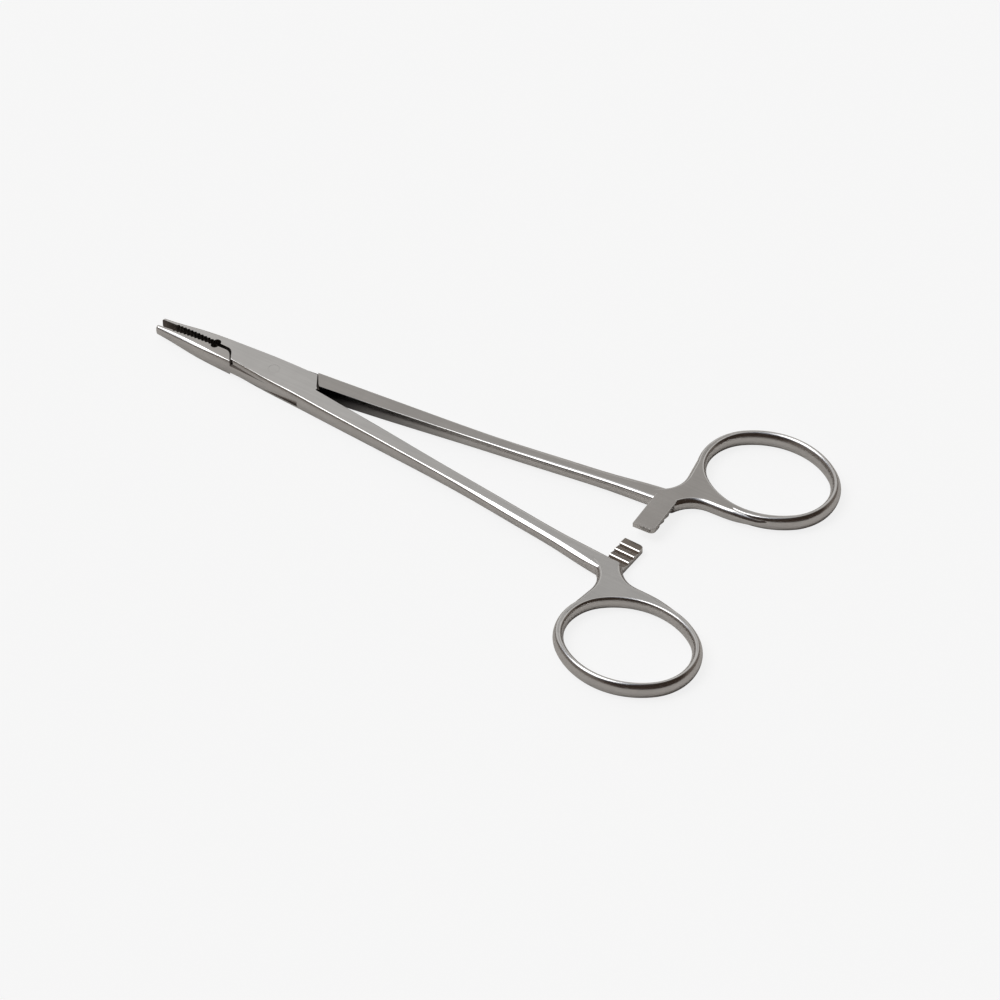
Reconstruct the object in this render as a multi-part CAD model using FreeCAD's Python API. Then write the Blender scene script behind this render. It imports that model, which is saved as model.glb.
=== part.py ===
import FreeCAD, Part
import math
import os

# A ring-handled surgical needle holder with a box lock and a ratchet catch, in millimetres.
# Row frame: origin on the pivot axis in the plane it lies on, +X toward the finger rings, +Z up.
# Both halves are drawn with the jaws just closed, mirror-wise about the X axis, and then turned
# apart about the pivot to the partly open position in which the instrument rests.

Vec = FreeCAD.Vector
UP = Vec(0, 0, 1)

# opening
rest_opening = 3.9            # angle between the halves as they rest, degrees
jaw_gap_closed = 0.02         # what is left between the jaw faces when they just meet

# box lock
box_half_thickness = 2.10     # both faces of the box are ground flat and parallel
grinding_stock = 0.06         # how far the forged form stands above those faces, each
wall_thickness = 1.05         # top and bottom wall of the box, each, where it is thickest
tongue_play = 0.05            # above and below the tongue, each
tongue_radius = 10.45         # round shoulder of the tongue, about the pivot
tongue_clearance = 0.15       # between that shoulder and the end of the window
shoulder_distance = 11.7      # from the pivot to the inner corner of each slanted shoulder
shoulder_slant = 32.0         # angle between a shoulder and the square line across the box
shoulder_play = 0.08          # between the shoulders when the jaws are closed
shoulder_corner = 1.2         # rounding of the inner corner of a shoulder
crotch_play = 0.05            # between the halves along the middle line inside the window
pin_radius = 1.3
pin_running_clearance = 0.03  # radial, pin in the tongue

# jaws
jaw_length = 31.1             # pivot to tip
tip_corner = 0.55             # rounding of the tip seen from above
tip_half_width = 0.95         # at the side face of the tip
relief_distance = 15.7        # pivot to the round relief hole at the heel of the serrations
relief_radius = 0.9
serration_pitch = 0.95
serration_depth = 0.32
serration_count = 11
serration_start = 1.3         # from the relief hole's centre to the first groove

# The racks' place along the shanks. The end of the shanks, the neck and the bow follow it.
ratchet_inner = 93.3          # pivot to the near side of the rack

# the shared outline of jaws, box and shanks:
# distance along X, half width of the flat, half thickness, facet width, facet drop, side bulge
forged_half_thickness = box_half_thickness + grinding_stock
outline_stations = (
    (-jaw_length, 0.42, 1.18, 0.28, 0.24, 0.12),
    (-27.0, 0.66, 1.52, 0.52, 0.40, 0.20),
    (-22.0, 1.26, 1.92, 0.60, 0.44, 0.32),
    (-17.0, 1.92, 2.10, 0.48, 0.34, 0.45),
    (-11.0, 2.54, forged_half_thickness, 0.20, 0.14, 0.56),
    (0.0, 3.44, forged_half_thickness, 0.17, 0.12, 0.60),
    (8.0, 3.82, 2.08, 0.17, 0.12, 0.58),
    (16.0, 4.28, 1.93, 0.17, 0.12, 0.54),
    (27.0, 4.88, 1.80, 0.17, 0.12, 0.48),
    (39.0, 5.54, 1.62, 0.20, 0.14, 0.42),
    (49.0, 6.10, 1.50, 0.30, 0.20, 0.34),
    (60.0, 6.80, 1.46, 0.60, 0.34, 0.24),
    (72.0, 7.85, 1.46, 0.84, 0.42, 0.20),
    (ratchet_inner - 10.3, 9.02, 1.50, 0.86, 0.44, 0.20),
    (ratchet_inner - 3.3, 10.05, 1.58, 0.84, 0.45, 0.20),
    (ratchet_inner + 1.7, 10.90, 1.60, 0.45, 0.30, 0.10),
)

# the space between the shanks: distance along X, half width at the flats, half thickness of
# the shanks there, facet width, facet drop, side bulge
gap_stations = (
    (shoulder_distance, 0.36, 2.02, 0.08, 0.06, 0.02),
    (20.5, 1.12, 1.88, 0.15, 0.11, 0.12),
    (27.0, 1.68, 1.80, 0.17, 0.12, 0.25),
    (39.0, 2.80, 1.62, 0.20, 0.14, 0.34),
    (49.0, 3.80, 1.50, 0.30, 0.20, 0.32),
    (60.0, 4.96, 1.46, 0.58, 0.34, 0.24),
    (72.0, 6.26, 1.46, 0.76, 0.42, 0.20),
    (ratchet_inner - 10.3, 7.26, 1.50, 0.78, 0.44, 0.20),
    (ratchet_inner - 3.3, 7.62, 1.58, 0.78, 0.45, 0.20),
    (ratchet_inner + 2.7, 7.90, 1.60, 0.78, 0.45, 0.20),
)

# finger rings
ring_distance = ratchet_inner + 18.5    # pivot to the ring's centre, along X
ring_offset = 26.1            # and across it
ring_long_radius = 15.5       # of the bow's centre line, an oval of four arcs
ring_short_radius = 12.6
ring_end_radius = 1.07 * ring_short_radius ** 2 / ring_long_radius
ring_lean = 3.2               # the long axis leans inward by this angle
bow_half_width = 1.18
bow_half_height = 2.0

# neck between shank, ratchet and ring, in the closed position
neck_half_thickness = 1.65    # between the flats ground on both faces of the neck
neck_stock = 0.06             # how far the forged neck stands above those flats, each
neck_edge_round = 1.45        # along the hollows, before grinding
neck_root = 0.9               # how far the neck reaches back past the rack, into the shank
flat_fades_from = 13.1        # where the flats begin to rise over the bow, before its centre
flat_rise = 0.35 / 12.0       # how steeply they rise, so that they fade out round the bow
fade_direction = 50.0         # of that rise, from +X, degrees
outer_hollow_distance = ratchet_inner + 3.1    # deepest point of the hollow on the outer side
outer_hollow_offset = 16.5
outer_hollow_radius = 6.3
inner_hollow_radius = 6.8
inner_hollow_run = 6.2        # from the rack to the hollow's end, along X
inner_line = 7.7              # inner edge of the neck, where the rack leaves it
bow_thickening = 0.92         # how far the neck stands out below the bow
bow_underside = ring_offset - ring_short_radius - bow_half_width - bow_thickening
underside_radius = 16.0       # of the curve that then meets the bow
underside_start = ring_distance - 4.3

# ratchet
ratchet_width = 5.1
male_reach = 2.0              # how far each rack passes the middle line when closed
female_reach = 1.2
tooth_pitch = 2.1
tooth_height = 0.6
tooth_lean = 0.12             # of the steep side, over its height
tooth_count = 3
first_tooth = 0.85            # from the middle line to the first crest, on the rack's own side
rack_play = 0.05              # half the space between the two rows of crests
rack_corner = 1.1

tongue_half = box_half_thickness - wall_thickness - tongue_play
window_half = box_half_thickness - wall_thickness
far = 200.0                   # well outside the part


def outline_section(x, half_width, half_thickness, facet, drop, bulge):
    """One cross section of the shared outline: two flats, four facets and two bulged sides."""
    side = half_thickness - drop
    edge = half_width + facet

    def at(y, z):
        return Vec(x, y, z)

    edges = []
    for sign in (1, -1):
        y0, y1, y2 = sign * half_width, sign * edge, sign * (edge + bulge)
        edges.append(Part.makeLine(at(-y0, sign * half_thickness), at(y0, sign * half_thickness)))
        edges.append(Part.makeLine(at(y0, sign * half_thickness), at(y1, sign * side)))
        edges.append(Part.Arc(at(y1, sign * side), at(y2, 0), at(y1, -sign * side)).toShape())
        edges.append(Part.makeLine(at(y1, -sign * side), at(y0, -sign * half_thickness)))
    return Part.Wire(edges)


def gap_section(x, half_width, half_thickness, facet, drop, bulge):
    """One cross section of the space between the shanks, its facets drawn on past both flats."""
    side = half_thickness - drop
    edge = half_width - facet
    rim = half_width + facet
    past = half_thickness + drop

    def at(y, z):
        return Vec(x, y, z)

    edges = []
    for sign in (1, -1):
        y0, y1, y2 = sign * rim, sign * edge, sign * (edge - bulge)
        edges.append(Part.makeLine(at(-y0, sign * past), at(y0, sign * past)))
        edges.append(Part.makeLine(at(y0, sign * past), at(y1, sign * side)))
        edges.append(Part.Arc(at(y1, sign * side), at(y2, 0), at(y1, -sign * side)).toShape())
        edges.append(Part.makeLine(at(y1, -sign * side), at(y0, -sign * past)))
    return Part.Wire(edges)


def prism(points, low, high):
    """A straight-sided block with the given plan."""
    plan = Part.makePolygon([Vec(x, y, low) for x, y in points + points[:1]])
    return Part.Face(plan).extrude(UP * (high - low))


def half_turn(shape):
    """The same shape turned half way round about the pivot."""
    turned = shape.copy()
    turned.rotate(Vec(0, 0, 0), UP, 180)
    return turned


def body_blank():
    """Jaws, box and both shanks in one, as the two forgings lie when the jaws are closed."""
    blank = Part.makeLoft([outline_section(*row) for row in outline_stations], True, False)
    gap = Part.makeLoft([gap_section(*row) for row in gap_stations], True, False)
    ground = Part.makeBox(2 * far, 2 * far, 2 * box_half_thickness,
                          Vec(-far, -far, -box_half_thickness))
    return blank.cut(gap).common(ground)


def shoulder_line(offset):
    """The jaw-side shoulder from its inner corner outward, moved along X by the offset."""
    run = 2 * shoulder_distance
    lean = run * math.tan(math.radians(shoulder_slant))
    start = -shoulder_distance + offset
    return (start, 0.0), (start + lean, -run)


def wall_plan(offset, middle):
    """What lies on the jaw side of the shoulder and below the middle line."""
    inner, outer = shoulder_line(offset)
    corner = prism([(-far, middle), (inner[0], middle), outer, (outer[0], -far), (-far, -far)],
                   -far, far)
    upright = [edge for edge in corner.Edges
               if all(abs(v.X - inner[0]) < 1e-6 and abs(v.Y - middle) < 1e-6
                      for v in edge.Vertexes)]
    return corner.makeFillet(shoulder_corner, upright)


def male_plan():
    """The male half: its jaw and its shank at full thickness, joined by the thin tongue."""
    wall = wall_plan(-shoulder_play / 2, -jaw_gap_closed / 2)
    full = wall.fuse(half_turn(wall))
    quarter = prism([(0, -jaw_gap_closed / 2), (0, -far), (-far, -far),
                     (-far, -jaw_gap_closed / 2)], -tongue_half, tongue_half)
    disc = Part.makeCylinder(tongue_radius, 2 * tongue_half, Vec(0, 0, -tongue_half))
    tongue = disc.fuse([quarter, half_turn(quarter)])
    return full.fuse(tongue)


def female_plan():
    """The female half: the box walls, with the window that the tongue passes through."""
    wall = wall_plan(shoulder_play / 2, jaw_gap_closed / 2)
    outside = wall.fuse(half_turn(wall))
    quarter = prism([(0, crotch_play), (0, -far), (-far, -far), (-far, jaw_gap_closed / 2),
                     (-shoulder_distance, jaw_gap_closed / 2), (-shoulder_distance, crotch_play)],
                    -window_half, window_half)
    end = tongue_radius + tongue_clearance
    disc = Part.makeCylinder(end, 2 * window_half, Vec(0, 0, -window_half))
    window = disc.fuse([quarter, half_turn(quarter)])
    return outside.fuse(window)


def serrations(side):
    """Upright grooves across one jaw face; the side is +1 for the female jaw."""
    face = side * jaw_gap_closed / 2
    cutters = []
    for i in range(serration_count):
        x = -relief_distance - serration_start - i * serration_pitch
        half = serration_pitch / 2
        cutters.append(prism([(x - half, face - side * 0.1), (x - half, face),
                              (x, face + side * serration_depth), (x + half, face),
                              (x + half, face - side * 0.1)], -far, far))
    return cutters


def tip_cutter():
    """What is cut away to round the tips of the two jaws seen from above."""
    start = -jaw_length + tip_corner
    block = prism([(-jaw_length - 1, 0), (start, 0), (start, far), (-jaw_length - 1, far)],
                  -far, far)
    straight = tip_half_width - tip_corner
    keep = Part.makeCylinder(tip_corner, 2 * far, Vec(start, straight, -far))
    inner = prism([(-jaw_length, 0), (start, 0), (start, straight), (-jaw_length, straight)],
                  -far, far)
    upper = block.cut([keep, inner])
    return upper.fuse(upper.mirror(Vec(0, 0, 0), Vec(0, 1, 0)))


def bow_length(centre, radius, start, turn):
    """One length of the bow: the upright oval carried round an arc by the given turn."""
    place_of_oval = centre + Vec(radius, 0, 0)
    oval = Part.Ellipse(place_of_oval, bow_half_height, bow_half_width).toShape()
    oval.rotate(place_of_oval, Vec(0, 0, 1), 90)
    oval.rotate(place_of_oval, Vec(1, 0, 0), 90)
    section = Part.Face(Part.Wire(oval))
    section.rotate(centre, UP, start)
    return section.revolve(centre, UP, turn)


def finger_ring():
    """The bow of the half whose shank lies at +Y: an upright oval round an oval of four arcs."""
    end_shift = ring_long_radius - ring_end_radius
    side_radius = ((end_shift ** 2 + ring_short_radius ** 2 - ring_end_radius ** 2)
                   / (2 * (ring_short_radius - ring_end_radius)))
    side_shift = side_radius - ring_short_radius
    meet = math.degrees(math.atan2(side_shift, end_shift))
    lengths = []
    for half in (0, 180):
        end = bow_length(Vec(end_shift, 0, 0), ring_end_radius, -meet, 2 * meet)
        side = bow_length(Vec(0, -side_shift, 0), side_radius, meet, 180 - 2 * meet)
        for length in (end, side):
            length.rotate(Vec(0, 0, 0), UP, half - ring_lean)
            length.translate(Vec(ring_distance, ring_offset, 0))
            lengths.append(length)
    return lengths[0].fuse(lengths[1:]).removeSplitter()


def arc(centre, radius, start, end):
    """A round stretch of a plan, counter-clockwise, its angles in degrees from +X."""
    circle = Part.Circle(centre, UP, radius)
    return Part.ArcOfCircle(circle, math.radians(start), math.radians(end)).toShape()


def neck():
    """The forged plate from the shank into the bow, hollowed by a rounded arc on each side."""
    ring_centre = Vec(ring_distance, ring_offset, 0)
    bow_outer = ring_centre - Vec(ring_long_radius + 0.75 * bow_half_width, 1.5, 0)
    outer_centre = Vec(outer_hollow_distance - outer_hollow_radius, outer_hollow_offset, 0)
    to_bow = bow_outer - outer_centre
    tangent = (math.degrees(math.atan2(to_bow.y, to_bow.x))
               - math.degrees(math.acos(outer_hollow_radius / to_bow.Length)))
    outer = arc(outer_centre, outer_hollow_radius, -90, tangent)
    outer_end = outer.Vertexes[-1].Point

    rack_far = ratchet_inner + ratchet_width
    inner_centre = Vec(rack_far + inner_hollow_run, bow_underside - inner_hollow_radius, 0)
    leaves_rack = 180 - math.degrees(math.acos(inner_hollow_run / inner_hollow_radius))
    inner = arc(inner_centre, inner_hollow_radius, 90, leaves_rack)
    under_start = Vec(underside_start, bow_underside, 0)
    under = arc(under_start + Vec(0, underside_radius, 0), underside_radius, -90, -45)

    shank_inner = Vec(ratchet_inner - neck_root, inner_line, 0)
    edges = [
        Part.makeLine(shank_inner, inner.Vertexes[-1].Point),
        inner,
        Part.makeLine(inner.Vertexes[0].Point, under_start),
        under,
        Part.makeLine(under.Vertexes[-1].Point, ring_centre),
        Part.makeLine(ring_centre, bow_outer),
        Part.makeLine(bow_outer, outer_end),
        outer,
        Part.makeLine(outer.Vertexes[0].Point, shank_inner),
    ]
    plan = Part.Face(Part.Wire(Part.__sortEdges__(edges)))
    forged = neck_half_thickness + neck_stock
    plan.translate(UP * -forged)
    block = plan.extrude(UP * (2 * forged))
    rounded = [edge for edge in block.Edges if type(edge.Curve).__name__ == "Circle"]
    block = block.makeFillet(neck_edge_round, rounded)

    bow_line = Part.Ellipse(ring_centre, ring_long_radius, ring_short_radius).toShape()
    hole = Part.Face(Part.Wire(bow_line)).extrude(UP * (4 * forged))
    hole.translate(UP * (-2 * forged))
    hole.rotate(ring_centre, UP, -ring_lean)
    return block.cut(hole)


def handle_grinding():
    """The space left for the handle by grinding: level over the neck, rising over the bow."""
    ring_centre = Vec(ring_distance, ring_offset, 0)
    low = neck_half_thickness
    high = low + flat_rise * (far + flat_fades_from)
    side = [(-far, -low), (-flat_fades_from, -low), (far, -high),
            (far, high), (-flat_fades_from, low), (-far, low)]
    profile = Part.makePolygon([Vec(along, -far, z) for along, z in side + side[:1]])
    space = Part.Face(profile).extrude(Vec(0, 2 * far, 0))
    space.rotate(Vec(0, 0, 0), UP, fade_direction)
    space.translate(ring_centre)
    return space


def rack(reach):
    """A ratchet rack of the +Y half, reaching past the middle line, with its teeth downward."""
    near = ratchet_inner
    end = -reach
    root = inner_line + 1.0
    block = prism([(near, root), (near, end), (near + ratchet_width, end),
                   (near + ratchet_width, root)], rack_play, neck_half_thickness)
    corner = [edge for edge in block.Edges
              if all(abs(v.Y - end) < 1e-6 and v.X > near + 1 for v in edge.Vertexes)]
    block = block.makeFillet(rack_corner, corner)
    crests = [first_tooth + i * tooth_pitch for i in range(tooth_count)]
    grooves = [tooth_space(crest, crest + tooth_pitch) for crest in crests]
    grooves.append(tooth_space(end - 2 * tooth_pitch, first_tooth))
    return block.cut(grooves)


def tooth_space(start, end):
    """The space between two crests: steep behind the first, then a long slope to the next."""
    x = ratchet_inner - 1
    low = rack_play
    plan = Part.makePolygon([Vec(x, start, low - 1), Vec(x, start, low),
                             Vec(x, start + tooth_lean, low + tooth_height), Vec(x, end, low),
                             Vec(x, end, low - 1), Vec(x, start, low - 1)])
    return Part.Face(plan).extrude(Vec(ratchet_width + 2, 0, 0))


def mirror_y(shape):
    return shape.mirror(Vec(0, 0, 0), Vec(0, 1, 0))


def mirror_z(shape):
    return shape.mirror(Vec(0, 0, 0), UP)


def place(shape, turn):
    """Turns a half to its resting angle and stands it on the plane it lies on."""
    shape.rotate(Vec(0, 0, 0), UP, turn)
    shape.translate(UP * box_half_thickness)
    return shape


def build():
    os.makedirs("parts", exist_ok=True)
    blank = body_blank().cut(tip_cutter())
    relief = Part.makeCylinder(relief_radius, 2 * far, Vec(-relief_distance, 0, -far))
    handle = finger_ring().fuse(neck()).common(handle_grinding())
    upper_rack = rack(male_reach)
    lower_rack = mirror_z(mirror_y(rack(female_reach)))

    pin_hole = Part.makeCylinder(pin_radius + pin_running_clearance, 2 * far, Vec(0, 0, -far))
    male = blank.common(male_plan()).cut([relief, pin_hole] + serrations(-1))
    male = male.fuse([handle, upper_rack]).removeSplitter()

    pin = Part.makeCylinder(pin_radius, 2 * box_half_thickness, Vec(0, 0, -box_half_thickness))
    female = blank.cut(female_plan()).cut([relief, pin] + serrations(1))
    female = female.fuse([mirror_y(handle), lower_rack]).removeSplitter()

    parts = {
        "female_half": place(female, -rest_opening / 2),
        "male_half": place(male, rest_opening / 2),
        "pivot_pin": place(pin, -rest_opening / 2),
    }
    for name, shape in parts.items():
        print(name, shape.isValid(), len(shape.Solids), round(shape.Volume, 2), shape.BoundBox)
        shape.exportStep("parts/" + name + ".step")


build()
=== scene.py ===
import math

import bmesh
import bpy
import numpy as np
from mathutils import Matrix, Vector


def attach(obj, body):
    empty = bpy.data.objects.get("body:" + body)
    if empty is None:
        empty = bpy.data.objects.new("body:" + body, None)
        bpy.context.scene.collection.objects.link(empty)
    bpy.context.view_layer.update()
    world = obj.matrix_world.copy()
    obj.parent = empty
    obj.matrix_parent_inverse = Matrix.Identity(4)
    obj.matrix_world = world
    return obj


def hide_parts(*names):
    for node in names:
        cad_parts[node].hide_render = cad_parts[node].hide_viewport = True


# A surgical needle holder lying partly open on a pale table. Everything is in metres in the
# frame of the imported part: the pin of the box lock is at the origin, +X runs toward the finger
# rings, and the table is the plane z = 0. The surfaces are worked out in millimetres with the
# jaws closed, and each half is then turned to where it rests.
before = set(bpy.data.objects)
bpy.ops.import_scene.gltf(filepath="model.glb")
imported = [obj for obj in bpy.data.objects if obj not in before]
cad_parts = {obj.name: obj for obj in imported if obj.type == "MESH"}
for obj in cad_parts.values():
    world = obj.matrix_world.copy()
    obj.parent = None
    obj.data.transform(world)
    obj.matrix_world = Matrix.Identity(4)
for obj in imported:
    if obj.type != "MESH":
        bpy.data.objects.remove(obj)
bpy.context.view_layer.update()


# The female half is one stainless forging: jaw, box with the window, shank, lower rack and
# finger ring. Its flats are belt ground to a satin finish, its bevels, sides and ring are
# polished, and the cuts of the lock and of the bite are painted dark as shade, as are the
# shanks' inner sides near the box.
#
# Each station of the outline holds its distance from the pin, then the flat's half width, the
# half thickness, the facet's width and drop, and the swell of the side.
box_half_thickness = 2.10
rest_turn = 1.95
outline = np.array([
    (-31.1, 0.42, 1.18, 0.28, 0.24, 0.12), (-27.0, 0.66, 1.52, 0.52, 0.40, 0.20),
    (-22.0, 1.26, 1.92, 0.60, 0.44, 0.32), (-17.0, 1.92, 2.10, 0.48, 0.34, 0.45),
    (-11.0, 2.54, 2.16, 0.20, 0.14, 0.56), (0.0, 3.44, 2.16, 0.17, 0.12, 0.60),
    (8.0, 3.82, 2.08, 0.17, 0.12, 0.58), (16.0, 4.28, 1.93, 0.17, 0.12, 0.54),
    (27.0, 4.88, 1.80, 0.17, 0.12, 0.48), (39.0, 5.54, 1.62, 0.20, 0.14, 0.42),
    (49.0, 6.10, 1.50, 0.30, 0.20, 0.34), (60.0, 6.80, 1.46, 0.60, 0.34, 0.24),
    (72.0, 7.85, 1.46, 0.84, 0.42, 0.20), (83.0, 9.02, 1.50, 0.86, 0.44, 0.20),
    (90.0, 10.05, 1.58, 0.84, 0.45, 0.20), (95.0, 10.90, 1.60, 0.45, 0.30, 0.10)])
# The space between the shanks, in the same terms.
between = np.array([
    (11.7, 0.36, 2.02, 0.08, 0.06, 0.02), (20.5, 1.12, 1.88, 0.15, 0.11, 0.12),
    (27.0, 1.68, 1.80, 0.17, 0.12, 0.25), (39.0, 2.80, 1.62, 0.20, 0.14, 0.34),
    (49.0, 3.80, 1.50, 0.30, 0.20, 0.32), (60.0, 4.96, 1.46, 0.58, 0.34, 0.24),
    (72.0, 6.26, 1.46, 0.76, 0.42, 0.20), (83.0, 7.26, 1.50, 0.78, 0.44, 0.20),
    (90.0, 7.62, 1.58, 0.78, 0.45, 0.20), (96.0, 7.90, 1.60, 0.78, 0.45, 0.20)])
nose_round = 0.5
edge_ease = 0.20
swell_starts = 0.86
most_ground_away = 0.9
# The finishes, in the order of a half's materials; the cut, toothed and inner ones carry painted
# shade.
GROUND, POLISHED, CUT_PAINTED_SHADE, TOOTHED_PAINTED_SHADE, INNER_PAINTED_SHADE = 0, 1, 2, 3, 4


def smooth_through(x, stations):
    """The natural cubic curve through the stations: in each length, the two end values and the
    two end bends, each weighted by the distance from the other end and by its cube."""
    knots, values = stations[:, 0], stations[:, 1:]
    run = np.diff(knots)
    inner = np.arange(1, len(knots) - 1)
    system = np.eye(len(knots))
    system[inner, inner - 1] = run[:-1]
    system[inner, inner] = 2 * (run[:-1] + run[1:])
    system[inner, inner + 1] = run[1:]
    change = np.zeros_like(values)
    change[1:-1] = 6 * np.diff(np.diff(values, axis=0) / run[:, None], axis=0)
    bend = np.linalg.solve(system, change)
    i = np.clip(np.searchsorted(knots, x) - 1, 0, len(knots) - 2)
    u, v, h = (x - knots[i])[:, None], (knots[i + 1] - x)[:, None], run[i][:, None]
    return ((bend[i] * v ** 3 + bend[i + 1] * u ** 3) / (6 * h)
            + (values[i] / h - bend[i] * h / 6) * v
            + (values[i + 1] / h - bend[i + 1] * h / 6) * u)


def eased_corner(before, corner, after, ease, steps):
    """A small parabola in place of a corner: (1-u)^2 times the point where it leaves the first
    side, 2u(1-u) times the corner, and u^2 times the point where it meets the second."""
    back, ahead = before - corner, after - corner
    back_run = np.linalg.norm(back, axis=-1, keepdims=True)
    ahead_run = np.linalg.norm(ahead, axis=-1, keepdims=True)
    reach = np.minimum(ease, 0.45 * np.minimum(back_run, ahead_run))
    first = corner + back / back_run * reach
    last = corner + ahead / ahead_run * reach
    u = np.linspace(0, 1, steps)[:, None]
    return ((1 - u) ** 2 * first[..., None, :] + 2 * u * (1 - u) * corner[..., None, :]
            + u ** 2 * last[..., None, :])


def pairs(y, z):
    """Points of a cross section from their two coordinates."""
    return np.stack([y, z], axis=-1)


def all_round(quarter):
    """The whole cross section from its quarter at +y and +z, mirrored about both axes."""
    return np.concatenate([quarter, quarter[:, -2::-1] * (1, -1), quarter[:, 1:] * (-1, -1),
                           quarter[:, -2:0:-1] * (-1, 1)], axis=1)


def forging_sections(x):
    """The outline's cross sections: flat, eased corner, facet, eased corner, and a side whose
    swell is the bulge times 1 - (z / side)^2. The box is cut level at its ground faces, and
    the nose of the jaws is drawn in as a quarter circle."""
    width, thick, facet, drop, bulge = smooth_through(x, outline).T
    ground = np.clip((thick - box_half_thickness) / drop, 0, most_ground_away)
    width, thick = width + facet * ground, thick - drop * ground
    facet, drop = facet * (1 - ground), drop * (1 - ground)
    side, edge = thick - drop, width + facet
    level = pairs(np.zeros_like(x), thick)
    top, shoulder = pairs(width, thick), pairs(edge, side)
    down = shoulder + pairs(2 * bulge / side, -np.ones_like(x))
    fall = np.linspace(swell_starts, 0, 6)
    swell = pairs(edge[:, None] + bulge[:, None] * (1 - fall ** 2), side[:, None] * fall)
    quarter = np.concatenate([level[:, None], eased_corner(level, top, shoulder, edge_ease, 5),
                              eased_corner(top, shoulder, down, edge_ease, 5), swell], axis=1)
    into = np.clip(nose_round - (x - outline[0, 0]), 0, nose_round)
    drawn_in = nose_round - np.sqrt(nose_round ** 2 - into ** 2)
    quarter[..., 0] *= (1 - drawn_in / (edge + bulge))[:, None]
    quarter[..., 1] *= (1 - drawn_in / thick)[:, None]
    return all_round(quarter)


def gap_sections(x):
    """The cross sections of the space between the shanks. From the flat's edge each side rolls
    over to the swell along a cubic through four points, and above the flats it goes on
    outward, so that cutting it away leaves a worn, rounded facet on the shanks' inner sides."""
    width, thick, facet, drop, bulge = smooth_through(x, between).T
    side, edge = thick - drop, width - facet
    level = pairs(np.zeros_like(x), thick + 0.4 * drop)
    rim = pairs(width + facet, thick + 0.4 * drop)
    control = [pairs(width, thick), pairs(width - 0.75 * facet, thick - 0.2 * drop),
               pairs(edge, side + 0.1 * drop), pairs(edge, side - 0.35 * drop)]
    u = np.linspace(0, 1, 12)[:, None]
    weight = ((1 - u) ** 3, 3 * u * (1 - u) ** 2, 3 * u ** 2 * (1 - u), u ** 3)
    roll = sum(w * point[:, None] for w, point in zip(weight, control))
    fall = np.linspace(0.7, 0, 5)
    swell = pairs(edge[:, None] - bulge[:, None] * (1 - fall ** 2), side[:, None] * fall)
    quarter = np.concatenate([level[:, None], rim[:, None], roll, swell], axis=1)
    return all_round(quarter)


def skin(name, grid, finish, looped=False):
    """A closed mesh over a grid of points: quads between neighbouring rows and columns, the
    columns closed on themselves, and the rows either closed too or ended by two caps."""
    rows, columns = grid.shape[:2]
    number = np.arange(rows * columns).reshape(rows, columns)
    here = number if looped else number[:-1]
    on = np.roll(number, -1, axis=0) if looped else number[1:]
    quads = np.stack([here, np.roll(here, -1, axis=1), np.roll(on, -1, axis=1), on], axis=-1)
    faces = quads.reshape(-1, 4).tolist()
    if not looped:
        faces += [number[0, ::-1].tolist(), number[-1].tolist()]
    mesh = bpy.data.meshes.new(name)
    mesh.from_pydata(grid.reshape(-1, 3).tolist(), [], faces)
    outward = bmesh.new()
    outward.from_mesh(mesh)
    bmesh.ops.recalc_face_normals(outward, faces=outward.faces)
    outward.to_mesh(mesh)
    outward.free()
    mesh.polygons.foreach_set("material_index", np.full(len(mesh.polygons), finish, np.int32))
    piece = bpy.data.objects.new(name, mesh)
    bpy.context.scene.collection.objects.link(piece)
    return piece


def tube(name, x, sections, finish):
    """The skin over cross sections that stand square across the X axis."""
    stations = np.broadcast_to(x[:, None, None], sections.shape[:2] + (1,))
    return skin(name, np.concatenate([stations, sections], axis=2), finish)


def block(name, plan, half_height):
    """An upright block, its plan repeated at the half height below and above the middle."""
    levels = [np.insert(plan, 2, z, axis=1) for z in (-half_height, half_height)]
    # The block's faces that stay on a half are painted dark as shade.
    return skin(name, np.stack(levels), CUT_PAINTED_SHADE)


def round_plan(x, radius):
    """A circle about a point of the X axis: the radius times the turn's cosine and sine."""
    turn = np.linspace(0, 2 * np.pi, 96, endpoint=False)
    return np.column_stack([x + radius * np.cos(turn), radius * np.sin(turn)])


def carve(piece, other, operation):
    """Cuts the other solid from the piece, or keeps or adds it, and leaves one plain mesh."""
    step = piece.modifiers.new("carve", "BOOLEAN")
    step.operation = operation
    step.solver = "MANIFOLD"
    step.object = other
    seen = piece.evaluated_get(bpy.context.evaluated_depsgraph_get())
    result = bpy.data.meshes.new_from_object(seen)
    piece.modifiers.clear()
    piece.data = result
    bpy.data.objects.remove(other)


# The cutting blocks reach beyond the whole instrument.
beyond = 120.0
shoulder_distance = 11.7
shoulder_corner = 1.2
shoulder_lean = math.tan(math.radians(32.0))
shoulder_reach = 24.0
shoulder_play = 0.04
face_play = 0.01


def wall_plan(offset, middle):
    """What lies on the jaw side of the slanted shoulder and below the middle line."""
    start = -shoulder_distance + offset
    corner = np.array((start, middle))
    outer = np.array((start + shoulder_lean * shoulder_reach, -shoulder_reach))
    bend = eased_corner(np.array((-beyond, middle)), corner, outer, shoulder_corner, 12)
    return np.vstack([[(-beyond, middle)], bend, [outer, (outer[0], -beyond),
                                                  (-beyond, -beyond)]])


def jaws_and_shanks():
    """Both forgings together, as they lie with the jaws closed. Round the nose the sections
    stand at one less the cosine of an even turn, and from there on they are evenly spaced."""
    nose = outline[0, 0] + nose_round * (1 - np.cos(np.linspace(0.12, np.pi / 2, 9)))
    along = np.concatenate([nose, np.linspace(nose[-1] + 0.2, outline[-1, 0], 330)])
    whole = tube("forging", along, forging_sections(along), POLISHED)
    along = np.linspace(between[0, 0], between[-1, 0], 220)
    # The inner sides left by this cut are painted dark as shade toward the box.
    carve(whole, tube("between_shanks", along, gap_sections(along), INNER_PAINTED_SHADE), "DIFFERENCE")
    return whole


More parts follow.
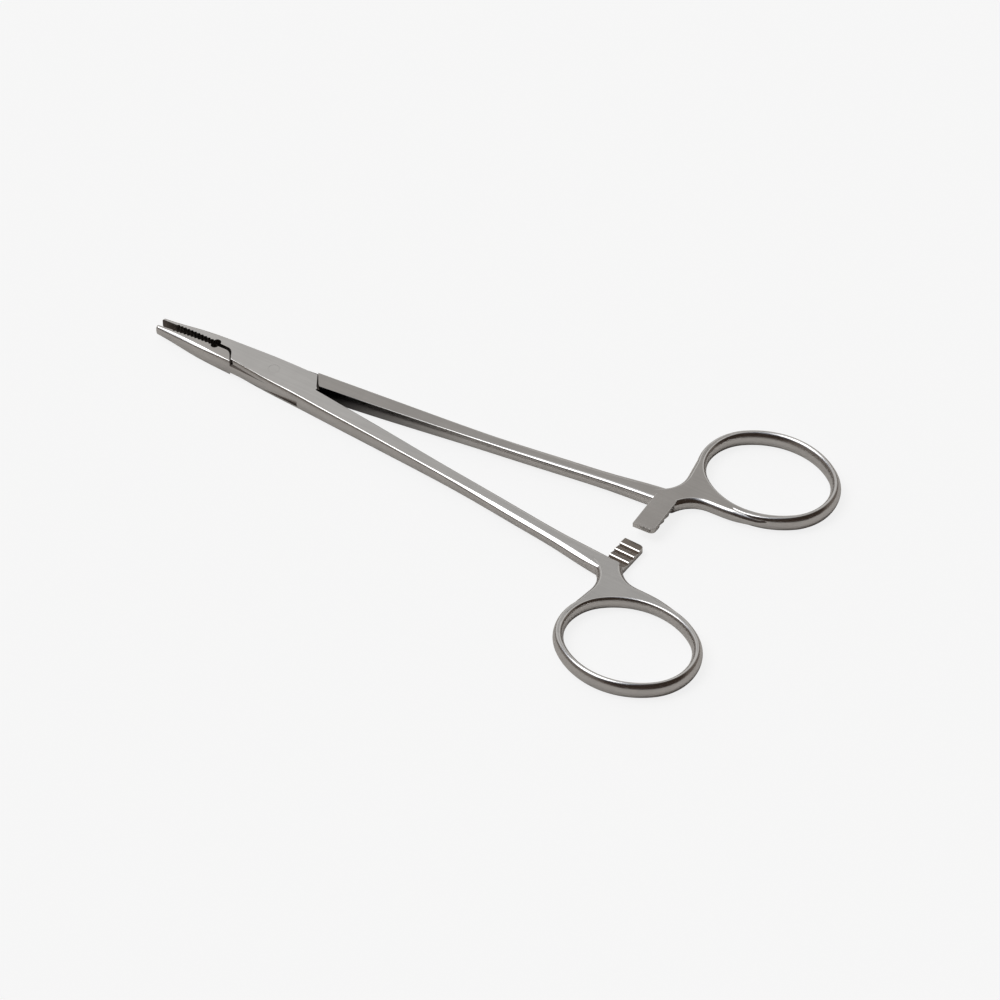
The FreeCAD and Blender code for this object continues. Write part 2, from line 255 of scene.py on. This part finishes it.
def bite(side):
    """The comb that cuts the serrations of one jaw: a zigzag between the jaw's face and the
    depth of the grooves, which turns at every half pitch."""
    face = side * face_play
    start, pitch, depth, count, comb_back = -17.0, 0.95, 0.32, 11, 0.1
    steps = np.arange(2 * count + 1)
    x = start + pitch / 2 - steps * pitch / 2
    y = face + side * depth * (steps % 2)
    row = np.column_stack([x, y])
    back = face - side * comb_back
    return np.vstack([row, [(x[-1], back), (x[0], back)]])


# The cuts of the lock: the round relief at the heel of the bite, the pin's hole, the window in
# the female half and the thinner, shorter tongue of the male half.
relief_distance = 15.7
relief_radius = 0.9
pin_radius = 1.3
window_half = 1.05
tongue_half = 1.00
window_end = 10.6
tongue_end = 10.45
window_overcut = 0.05

female = jaws_and_shanks()
wall = wall_plan(shoulder_play, face_play)
window = np.array([(0, window_overcut), (0, -beyond), (-beyond, -beyond), (-beyond, face_play),
                   (-shoulder_distance, face_play), (-shoulder_distance, window_overcut)])
for plan in (wall, -wall):
    carve(female, block("wall", plan, beyond), "DIFFERENCE")
for plan in (window, -window, round_plan(0.0, window_end)):
    carve(female, block("window", plan, window_half), "DIFFERENCE")
for plan in (round_plan(-relief_distance, relief_radius), round_plan(0.0, pin_radius), bite(1)):
    carve(female, block("cut", plan, beyond), "DIFFERENCE")


# The finger ring of the +y half, and the ground flats that fade away over its far side.
ring_centre = np.array((111.8, 26.1))
ring_long, ring_short = 15.5, 12.6
ring_lean = math.radians(-3.2)
ring_end_radius = 1.07 * ring_short ** 2 / ring_long
bow_half_width, bow_half_height, bow_power = 1.17, 2.08, 1.75
neck_half_thickness = 1.65
flat_stock = 0.012
flat_fade_direction = math.radians(50.0)
flat_fades_before = 9.0
flat_rise = 0.35 / 9
flat_sharpness = 6.0


def leaned(points):
    """Points or directions of the ring's plan, turned by its lean: x cos - y sin, and
    x sin + y cos."""
    return points @ np.array([[math.cos(ring_lean), math.sin(ring_lean)],
                              [-math.sin(ring_lean), math.cos(ring_lean)]])


def finger_ring():
    """An upright, slightly pointed oval carried round an oval of four arcs: the shares of the
    half width and of the half height, each to the power 1.75, add up to 1. A point of the line
    is the arc's centre plus its radius along the outward direction. Heights are eased down to
    the ground flats, which rise slowly over the bow, by a soft minimum of height and flat."""
    end_shift = ring_long - ring_end_radius
    side_radius = ((end_shift ** 2 + ring_short ** 2 - ring_end_radius ** 2)
                   / (2 * (ring_short - ring_end_radius)))
    side_shift = side_radius - ring_short
    turn = np.linspace(0, 2 * np.pi, 320, endpoint=False)
    out = np.column_stack([np.cos(turn), np.sin(turn)])
    at_end = np.abs(out[:, 1]) * end_shift < np.abs(out[:, 0]) * side_shift
    centre = np.where(at_end[:, None],
                      np.column_stack([np.sign(out[:, 0]) * end_shift, np.zeros_like(turn)]),
                      np.column_stack([np.zeros_like(turn), -np.sign(out[:, 1]) * side_shift]))
    line = centre + np.where(at_end, ring_end_radius, side_radius)[:, None] * out
    line, out = leaned(line), leaned(out)
    about = np.linspace(0, 2 * np.pi, 56, endpoint=False)
    across = np.sign(np.cos(about)) * np.abs(np.cos(about)) ** (2 / bow_power)
    plan = line[:, None] + out[:, None] * (bow_half_width * across)[None, :, None]
    fade = np.array((math.cos(flat_fade_direction), math.sin(flat_fade_direction)))
    past = np.maximum(plan @ fade + flat_fades_before, 0)
    flat = neck_half_thickness + flat_stock + flat_rise * past
    height = bow_half_height * np.abs(np.sin(about))[None, :] ** (2 / bow_power)
    both = np.exp(-flat_sharpness * height) + np.exp(-flat_sharpness * flat)
    eased = -np.log(both) / flat_sharpness
    upright = np.sign(np.sin(about))[None, :] * np.maximum(eased, 0)
    return np.concatenate([plan + ring_centre, upright[..., None]], axis=2)


def arc_points(centre, radius, start, end, steps):
    """Points of an arc: its centre plus the radius times the turn's cosine and sine."""
    turn = np.radians(np.linspace(start, end, steps))
    return np.column_stack([centre[0] + radius * np.cos(turn), centre[1] + radius * np.sin(turn)])


# The plate between shank, ring and rack, whose free edges are rounded.
rack_near = 93.3
edge_round = 1.45
edge_flat = 0.26
edge_turn = math.radians(73.4)
edge_smoothings = 14
under_bow_inset = 0.2
shank_end_drop, shank_end_run = 0.08, 3.3
ring_end_start, ring_end_drop, ring_end_run = 110.5, 0.40, 8.5


def neck_plate():
    """The plate from the shank into the bow. Its edge line is made of the hollows' arcs, and
    at each point the edge's profile runs inward from it, as far as the round's radius less its
    cosine, and up by its sine. Under the shank and the bow the profile is a plain wall. At its
    two ends the plate is lowered, in proportion to the distance, until it runs out in them."""
    turn = np.radians(np.linspace(180, 300, 78))
    under_bow = np.column_stack([(ring_long - under_bow_inset) * np.cos(turn),
                                 (ring_short - under_bow_inset) * np.sin(turn)])
    stretches = [
        # the outer hollow, between the shank and the bow, and the line up into the bow
        (1.0, arc_points((90.1, 16.5), 6.3, -82, 7.4, 50)),
        (1.0, np.linspace((96.35, 17.31), (95.55, 23.4), 20)[1:]),
        # along the bow and round the plate's far end
        (0.0, leaned(under_bow) + ring_centre),
        (0.0, np.linspace((119.0, 14.7), (119.0, 14.1), 3)),
        (0.4, arc_points((107.5, 44.4), 33.0, -71, -73, 4)),
        # back below the bow, and the inner hollow beside the rack
        (1.0, arc_points((107.5, 44.4), 33.0, -74, -90, 32)),
        (1.0, np.linspace((107.5, 11.4), (104.6, 11.4), 8)[1:]),
        (1.0, arc_points((104.6, 4.6), 6.8, 90, 155.8, 50)[1:]),
        # the rest lies inside the shank
        (0.0, np.linspace((98.4, 7.39), (92.4, 7.7), 8)[1:]),
        (0.0, np.linspace((92.4, 7.7), (91.4, 9.4), 5)[1:])]
    edge = np.vstack([line for _, line in stretches])
    open_air = np.concatenate([np.full(len(line), share) for share, line in stretches])
    run = np.concatenate([[0], np.cumsum(np.linalg.norm(np.diff(edge, axis=0), axis=1))])
    even = np.linspace(0, run[-1], 420)
    edge = np.column_stack([np.interp(even, run, edge[:, 0]), np.interp(even, run, edge[:, 1]),
                            np.interp(even, run, open_air)])
    for _ in range(edge_smoothings):
        edge = 0.5 * edge + 0.25 * (np.roll(edge, 1, axis=0) + np.roll(edge, -1, axis=0))
    edge, share = edge[:, :2], np.clip(edge[:, 2], 0.04, 1)
    along = np.roll(edge, -1, axis=0) - np.roll(edge, 1, axis=0)
    along /= np.linalg.norm(along, axis=1, keepdims=True)
    inward = np.column_stack([along[:, 1], -along[:, 0]])
    about = np.linspace(0, edge_turn, 12)
    depth = edge_round * (1 - np.cos(about))
    height = edge_flat + edge_round * np.sin(about)
    depth = np.concatenate([depth[::-1], depth])
    height = np.concatenate([height[::-1], -height])
    plan = edge[None] + inward[None] * (depth[:, None] * share[None])[..., None]
    x = plan[..., :1]
    lowered = 1 - shank_end_drop * np.clip((rack_near - x) / shank_end_run, 0, 1)
    lowered -= ring_end_drop * np.clip((x - ring_end_start) / ring_end_run, 0, 1)
    return np.concatenate([plan, height[:, None, None] * lowered], axis=2)


# The rack, and its three teeth, each with a land worn on its crest.
rack_width, rack_root, rack_rows = 5.1, 8.7, 340
rack_corner, rack_edge_ease = 1.1, 0.12
tooth_pitch, tooth_height, tooth_play = 2.1, 0.6, 0.05
first_crest = 0.85
land_before, land_past = 0.17, 0.08
land_below, land_drop = 0.05, 0.14
flank_past = 0.16
rack_below_plate = 0.004
tooth_blur = 0.02
half_row = 0.015
toothed_face, faces_in_row = 14, 20


def rack(reach):
    """The +y half's rack, its teeth downward: across it an eased rectangle, whose lower side
    follows the teeth along y: a worn land at each crest, steep behind it and then a long slope
    to the next."""
    crest = first_crest + tooth_pitch * np.arange(3)
    tooth_points = np.array((crest - land_before, crest + land_past, crest + flank_past))
    turning = np.concatenate([[-reach - tooth_pitch], tooth_points.T.ravel(),
                              [crest[-1] + tooth_pitch]])
    top, root = tooth_play, tooth_play + tooth_height
    tooth_levels = (top + land_below, top + land_below + land_drop, root)
    level = np.concatenate([[root], np.tile(tooth_levels, 3), [top]])
    y = np.linspace(-reach, rack_root, rack_rows)
    blur = np.linspace(-tooth_blur, tooth_blur, 5)
    teeth = np.interp(y[:, None] + blur, turning, level).mean(axis=1)
    nose = np.clip(rack_corner - (y + reach), 0, rack_corner)
    far = rack_near + rack_width - (rack_corner - np.sqrt(rack_corner ** 2 - nose ** 2))
    near = np.full_like(y, rack_near)
    back = np.full_like(y, neck_half_thickness - rack_below_plate)
    corners = [pairs(near, back), pairs(far, back), pairs(far, teeth), pairs(near, teeth)]
    section = np.concatenate([eased_corner(corners[i - 1], corners[i], corners[(i + 1) % 4],
                                           rack_edge_ease, 5) for i in range(4)], axis=1)
    across, upright = section[..., 0], section[..., 1]
    beside = np.broadcast_to(y[:, None], across.shape)
    return np.stack([across, beside, upright], axis=2)


# Faces as level as this are ground, and edges sharper than this stay crisp.
level_enough = 0.994
sharp_edge = math.radians(28)


def rack_finish(reach, count):
    """The finish of each of the rack's faces. One face in each row is the toothed side, which
    is painted dark as shade except on the crests' lands. The last two faces are the caps."""
    finish = np.full(count, POLISHED, np.int32)
    y = np.linspace(-reach, rack_root, rack_rows)[:-1] + half_row
    past_land = (y - first_crest + land_before) % tooth_pitch
    on_land = (y > 0) & (past_land < land_before + land_past)
    finish[toothed_face:-2:faces_in_row] = np.where(on_land, POLISHED, TOOTHED_PAINTED_SHADE)
    return finish


def finish_half(name, body, side, reach, flat):
    """Joins the forging's body with its ring, neck and rack, turns the half to where it rests
    and gives its level faces the ground finish."""
    mirror_y, mirror_z = np.array((1, side, 1)), np.array((1, side, side))
    pieces = [body,
              skin("ring", finger_ring() * mirror_y, POLISHED, looped=True),
              skin("neck", neck_plate() * mirror_y, POLISHED),
              skin("rack", rack(reach) * mirror_z, POLISHED)]
    rack_faces = pieces[3].data.polygons
    rack_faces.foreach_set("material_index", rack_finish(reach, len(rack_faces)))
    whole = bmesh.new()
    for piece in pieces:
        whole.from_mesh(piece.data)
        bpy.data.objects.remove(piece)
    mesh = bpy.data.meshes.new(name)
    whole.to_mesh(mesh)
    whole.free()
    mesh.transform(Matrix.Scale(0.001, 4) @ Matrix.Translation((0, 0, box_half_thickness))
                   @ Matrix.Rotation(math.radians(rest_turn * side), 4, "Z"))
    normals = np.zeros(3 * len(mesh.polygons), np.float32)
    mesh.polygons.foreach_get("normal", normals)
    finish = np.zeros(len(mesh.polygons), np.int32)
    mesh.polygons.foreach_get("material_index", finish)
    level = (np.abs(normals.reshape(-1, 3)[:, 2]) > level_enough) & (finish == POLISHED)
    mesh.polygons.foreach_set("material_index", np.where(level, GROUND, finish))
    mesh.polygons.foreach_set("use_smooth", np.ones(len(mesh.polygons), bool))
    mesh.set_sharp_from_angle(angle=sharp_edge)
    for material in (flat, polished_steel, cut_painted_shade_steel, tooth_painted_shade_steel, inner_painted_shade_steel):
        mesh.materials.append(material)
    half = bpy.data.objects.new(name, mesh)
    bpy.context.scene.collection.objects.link(half)
    even = half.modifiers.new("faces_lead_the_shading", "WEIGHTED_NORMAL")
    even.keep_sharp = True
    even.weight = 100
    return half


def grain_group():
    """Grinding marks: noise drawn out along X, which is the way the belt ran.

    The mark at a point is a smooth noise of (x * along, y * across, z * across), so that the
    lines are long in X and fine in Y. The shade is the mark and a slow cloud added together,
    and the distance is x itself."""
    group = bpy.data.node_groups.new("belt_grain", "ShaderNodeTree")
    group.interface.new_socket("Along", in_out="INPUT", socket_type="NodeSocketFloat")
    group.interface.new_socket("Across", in_out="INPUT", socket_type="NodeSocketFloat")
    group.interface.new_socket("Mark", in_out="OUTPUT", socket_type="NodeSocketFloat")
    group.interface.new_socket("Shade", in_out="OUTPUT", socket_type="NodeSocketFloat")
    group.interface.new_socket("Distance", in_out="OUTPUT", socket_type="NodeSocketFloat")
    nodes, link = group.nodes, group.links.new
    given = nodes.new("NodeGroupInput")
    result = nodes.new("NodeGroupOutput")
    place = nodes.new("ShaderNodeTexCoord")
    stretch = nodes.new("ShaderNodeCombineXYZ")
    link(given.outputs["Along"], stretch.inputs["X"])
    link(given.outputs["Across"], stretch.inputs["Y"])
    link(given.outputs["Across"], stretch.inputs["Z"])
    scaled = nodes.new("ShaderNodeVectorMath")
    scaled.operation = "MULTIPLY"
    link(place.outputs["Object"], scaled.inputs[0])
    link(stretch.outputs["Vector"], scaled.inputs[1])
    lines = nodes.new("ShaderNodeTexNoise")
    lines.inputs["Scale"].default_value = 1.0
    lines.inputs["Detail"].default_value = 3.0
    link(scaled.outputs["Vector"], lines.inputs["Vector"])
    cloud = nodes.new("ShaderNodeTexNoise")
    cloud.inputs["Scale"].default_value = 140.0
    cloud.inputs["Detail"].default_value = 2.0
    link(place.outputs["Object"], cloud.inputs["Vector"])
    both = nodes.new("ShaderNodeMath")
    both.operation = "ADD"
    link(lines.outputs["Fac"], both.inputs[0])
    link(cloud.outputs["Fac"], both.inputs[1])
    shade = nodes.new("ShaderNodeMapRange")
    shade.inputs["From Min"].default_value = 0.7
    shade.inputs["From Max"].default_value = 1.3
    link(both.outputs["Value"], shade.inputs["Value"])
    parts = nodes.new("ShaderNodeSeparateXYZ")
    link(place.outputs["Object"], parts.inputs["Vector"])
    link(lines.outputs["Fac"], result.inputs["Mark"])
    link(shade.outputs["Result"], result.inputs["Shade"])
    link(parts.outputs["X"], result.inputs["Distance"])
    return group


belt_grain = grain_group()


def steel(name, colour, roughness, grain_marks, tone=(0.0, 1.0, 0.1, 1.0)):
    """Stainless steel whose grain changes its roughness a little and tilts its surface. The
    grain is its marks per metre along and across, their depth, and the change of roughness.
    The tone is a distance along X and the share of the colour there, twice, with a straight
    line between the two."""
    along, across, depth, spread = grain_marks
    material = bpy.data.materials.new(name)
    material.use_nodes = True
    nodes, link = material.node_tree.nodes, material.node_tree.links.new
    shader = nodes["Principled BSDF"]
    shader.inputs["Metallic"].default_value = 1.0
    grain = nodes.new("ShaderNodeGroup")
    grain.node_tree = belt_grain
    grain.inputs["Along"].default_value = along
    grain.inputs["Across"].default_value = across
    rough = nodes.new("ShaderNodeMapRange")
    rough.inputs["To Min"].default_value = roughness - spread
    rough.inputs["To Max"].default_value = roughness + spread
    link(grain.outputs["Mark"], rough.inputs["Value"])
    link(rough.outputs["Result"], shader.inputs["Roughness"])
    tint = nodes.new("ShaderNodeMix")
    tint.data_type = "RGBA"
    tint.inputs["A"].default_value = tuple(0.93 * c for c in colour[:3]) + (1.0,)
    tint.inputs["B"].default_value = tuple(min(1.0, 1.05 * c) for c in colour[:3]) + (1.0,)
    link(grain.outputs["Shade"], tint.inputs["Factor"])
    share = nodes.new("ShaderNodeMapRange")
    for socket, value in zip(("From Min", "To Min", "From Max", "To Max"), tone):
        share.inputs[socket].default_value = value
    link(grain.outputs["Distance"], share.inputs["Value"])
    toned = nodes.new("ShaderNodeVectorMath")
    toned.operation = "SCALE"
    link(tint.outputs["Result"], toned.inputs[0])
    link(share.outputs["Result"], toned.inputs["Scale"])
    link(toned.outputs["Vector"], shader.inputs["Base Color"])
    bump = nodes.new("ShaderNodeBump")
    bump.inputs["Strength"].default_value = 1.0
    bump.inputs["Distance"].default_value = depth
    link(grain.outputs["Mark"], bump.inputs["Height"])
    link(bump.outputs["Normal"], shader.inputs["Normal"])
    return material


flat_colour = (0.625, 0.612, 0.597, 1.0)
flat_roughness = 0.36
flat_grain = (60.0, 2300.0, 4e-6, 0.05)
# The ground flats carry painted light and shade along X: a little lighter at the jaw, darker
# toward the ring.
flat_painted_light_tone = (-0.02, 1.04, 0.10, 0.86)
female_flat = steel("female_ground_steel", flat_colour, flat_roughness, flat_grain, flat_painted_light_tone)
polished_colour = (0.72, 0.705, 0.69, 1.0)
polished_grain = (400.0, 1500.0, 1e-6, 0.03)
polished_steel = steel("polished_steel", polished_colour, 0.22, polished_grain)
# The teeth's slopes are painted dark brown as shade. On the shanks' inner sides a painted
# shade deepens toward the box, where they are nearly black.
tooth_painted_shade_colour = (0.27, 0.236, 0.208, 1.0)
tooth_painted_shade_steel = steel("tooth_painted_shade_steel", tooth_painted_shade_colour, 0.38, (3000.0, 900.0, 5e-7, 0.03))
inner_painted_shade_tone = (0.016, 0.10, 0.048, 1.0)
inner_painted_shade_steel = steel("inner_painted_shade_steel", polished_colour, 0.26, polished_grain, inner_painted_shade_tone)
# The cuts of the lock and of the bite are painted dark as shade.
cut_painted_shade_colour = (0.16, 0.14, 0.125, 1.0)
cut_painted_shade_steel = steel("cut_faces_painted_shade_steel", cut_painted_shade_colour, 0.5, (2000.0, 4000.0, 4e-6, 0.05))
female = finish_half("female_half_finished", female, -1, 1.2, female_flat)
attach(female, "female")
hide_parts("female_half")


# The male half is the other stainless forging, whose thin tongue passes through the box of the
# female half and turns on the pin. It is ground and polished in the same way; its ground flats
# are painted darker as shade, and lighter at the jaw and box as painted light.
# Painted shade: a darker copy of the ground steel, lifted by painted light at the jaw and box.
male_flat_painted_shade_colour = (0.452, 0.432, 0.413, 1.0)
male_flat_painted_light_tone = (-0.012, 1.22, 0.012, 1.0)
pin_running_clearance = 0.03
male_flat = steel("male_ground_steel", male_flat_painted_shade_colour, flat_roughness, flat_grain,
                  male_flat_painted_light_tone)
male_wall = wall_plan(-shoulder_play, -face_play)
tongue = np.array([(0, -face_play), (0, -beyond), (-beyond, -beyond), (-beyond, -face_play)])
kept = block("kept", male_wall, beyond)
carve(kept, block("kept", -male_wall, beyond), "UNION")
for plan in (tongue, -tongue, round_plan(0.0, tongue_end)):
    carve(kept, block("tongue", plan, tongue_half), "UNION")
male = jaws_and_shanks()
carve(male, kept, "INTERSECT")
for plan in (round_plan(-relief_distance, relief_radius),
             round_plan(0.0, pin_radius + pin_running_clearance), bite(-1)):
    carve(male, block("cut", plan, beyond), "DIFFERENCE")
male = finish_half("male_half_finished", male, 1, 2.0, male_flat)
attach(male, "male")
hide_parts("male_half")


# The pin of the box lock is a plain stainless pin, riveted and then ground flush with both
# faces of the box, so that only the faintest ring shows. Its surface is a profile of radius
# and height turned about the pivot's axis.
pin_ease = 0.03
pin_length = 2 * box_half_thickness
height = np.array((0.0, pin_ease, pin_length - pin_ease, pin_length))
radius = np.array((pin_radius - pin_ease, pin_radius, pin_radius, pin_radius - pin_ease))
pin_grid = np.stack([np.insert(round_plan(0.0, r), 2, z, axis=1)
                     for r, z in zip(radius, height)])
pin = skin("pivot_pin_finished", pin_grid * 0.001, GROUND)
pin.data.materials.append(female_flat)
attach(pin, "female")
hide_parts("pivot_pin")


# The table is a plain pale sheet. The camera sees it almost white, as in the photograph, with
# only a faint shadow, while the steel reflects it as the warm grey sheet that it is.
table_half = 3.0
table_paint = (0.74, 0.712, 0.675, 1.0)
table_glow_seen = (0.835, 0.835, 0.835, 1.0)
table_paint_seen = (0.17, 0.17, 0.17, 1.0)
table_mesh = bpy.data.meshes.new("table")
table_mesh.from_pydata([(-table_half, -table_half, 0), (table_half, -table_half, 0),
                        (table_half, table_half, 0), (-table_half, table_half, 0)],
                       [], [(0, 1, 2, 3)])
table = bpy.data.objects.new("table", table_mesh)
bpy.context.scene.collection.objects.link(table)
sheet = bpy.data.materials.new("pale_table")
sheet.use_nodes = True
sheet_nodes, sheet_link = sheet.node_tree.nodes, sheet.node_tree.links.new
rays = sheet_nodes.new("ShaderNodeLightPath")
matt = sheet_nodes["Principled BSDF"]
matt.inputs["Roughness"].default_value = 1.0
matt.inputs["Specular IOR Level"].default_value = 0.0
matt.inputs["Emission Color"].default_value = table_glow_seen
sheet_link(rays.outputs["Is Camera Ray"], matt.inputs["Emission Strength"])
paint = sheet_nodes.new("ShaderNodeMix")
paint.data_type = "RGBA"
paint.inputs["A"].default_value = table_paint
paint.inputs["B"].default_value = table_paint_seen
sheet_link(rays.outputs["Is Camera Ray"], paint.inputs["Factor"])
sheet_link(paint.outputs["Result"], matt.inputs["Base Color"])
table_mesh.materials.append(sheet)


# The light is a soft studio round: pale grey behind the table, a large white softbox overhead
# to the left, and a dark brown room overhead and in front, which the polished rings pick up.
# The masks are worked out from the direction of the light in the camera's own azimuth.
photo_turn = math.radians(32.14)
room = bpy.data.worlds.new("studio")
room.use_nodes = True
bpy.context.scene.world = room
room_nodes, room_link = room.node_tree.nodes, room.node_tree.links.new
sky = room_nodes["Background"]
direction = room_nodes.new("ShaderNodeTexCoord")
turned = room_nodes.new("ShaderNodeVectorRotate")
turned.rotation_type = "Z_AXIS"
turned.inputs["Angle"].default_value = -photo_turn
room_link(direction.outputs["Generated"], turned.inputs["Vector"])


def toward(azimuth, elevation):
    """The unit vector at an azimuth from the photograph's right-hand side and an elevation."""
    a, e = math.radians(azimuth), math.radians(elevation)
    return (math.cos(e) * math.cos(a), math.cos(e) * math.sin(a), math.sin(e))


def light_patch(centre, inner, outer):
    """A round mask: 1 within the inner angle of the centre, fading to 0 at the outer angle."""
    dot = room_nodes.new("ShaderNodeVectorMath")
    dot.operation = "DOT_PRODUCT"
    dot.inputs[1].default_value = centre
    room_link(turned.outputs["Vector"], dot.inputs[0])
    fade = room_nodes.new("ShaderNodeMapRange")
    fade.interpolation_type = "SMOOTHSTEP"
    fade.inputs["From Min"].default_value = math.cos(math.radians(outer))
    fade.inputs["From Max"].default_value = math.cos(math.radians(inner))
    room_link(dot.outputs["Value"], fade.inputs["Value"])
    return fade.outputs["Result"]


def lay_over(below, mask, colour):
    """The colour laid over what is below it, by the mask."""
    mix = room_nodes.new("ShaderNodeMix")
    mix.data_type = "RGBA"
    room_link(mask, mix.inputs["Factor"])
    if isinstance(below, tuple):
        mix.inputs["A"].default_value = below
    else:
        room_link(below, mix.inputs["A"])
    mix.inputs["B"].default_value = colour
    return mix.outputs["Result"]


room_brown = (0.150, 0.128, 0.112, 1.0)
back_light = (0.63, 0.623, 0.612, 1.0)
room_dark = (0.036, 0.025, 0.019, 1.0)
softbox_rim = (0.30, 0.34, 0.42, 1.0)
softbox_white = (3.4, 3.4, 3.4, 1.0)
backdrop_seen = (0.93, 0.93, 0.93, 1.0)
# Each patch has its azimuth and elevation, and the angles within which it is whole and at
# which it ends.
patches = [((93, 46), (24, 56), back_light), ((-75, 38), (50, 66), room_dark),
           ((180, 60), (20, 36), softbox_rim), ((180, 60), (12, 24), softbox_white)]
light = room_brown
for place, (inner, outer), colour in patches:
    light = lay_over(light, light_patch(toward(*place), inner, outer), colour)
camera_ray = room_nodes.new("ShaderNodeLightPath")
light = lay_over(light, camera_ray.outputs["Is Camera Ray"], backdrop_seen)
room_link(light, sky.inputs["Color"])


# The camera stands where the photographer stood: the pivot axis is seen at the named pixel, and
# the focal length and the distance are those fitted to the object's outline. The frame is
# 1000 pixels wide and high.
camera_elevation = math.radians(44.37)
focal_pixels = 5551.0
scale_at_pivot = 4455.0
pivot_pixel = (274.08, 375.55)
camera_data = bpy.data.cameras.new("camera")
camera_data.sensor_width = 36.0
camera_data.lens = focal_pixels / 1000.0 * camera_data.sensor_width
camera_data.clip_start, camera_data.clip_end = 0.05, 20.0
camera = bpy.data.objects.new("camera", camera_data)
bpy.context.scene.collection.objects.link(camera)
ahead = Vector((0.0, math.cos(camera_elevation), -math.sin(camera_elevation)))
right = Vector((1.0, 0.0, 0.0))
upward = right.cross(ahead)
distance = focal_pixels / scale_at_pivot
station = -distance * (ahead + right * (pivot_pixel[0] - 500.0) / focal_pixels
                       + upward * (500.0 - pivot_pixel[1]) / focal_pixels)
axes = Matrix((right, upward, -ahead)).transposed().to_4x4()
camera.matrix_world = (Matrix.Translation((0.0, 0.0, 0.001 * box_half_thickness))
                       @ Matrix.Rotation(photo_turn, 4, "Z")
                       @ Matrix.Translation(station) @ axes)
bpy.context.scene.camera = camera

bpy.context.scene.view_settings.view_transform = "Standard"
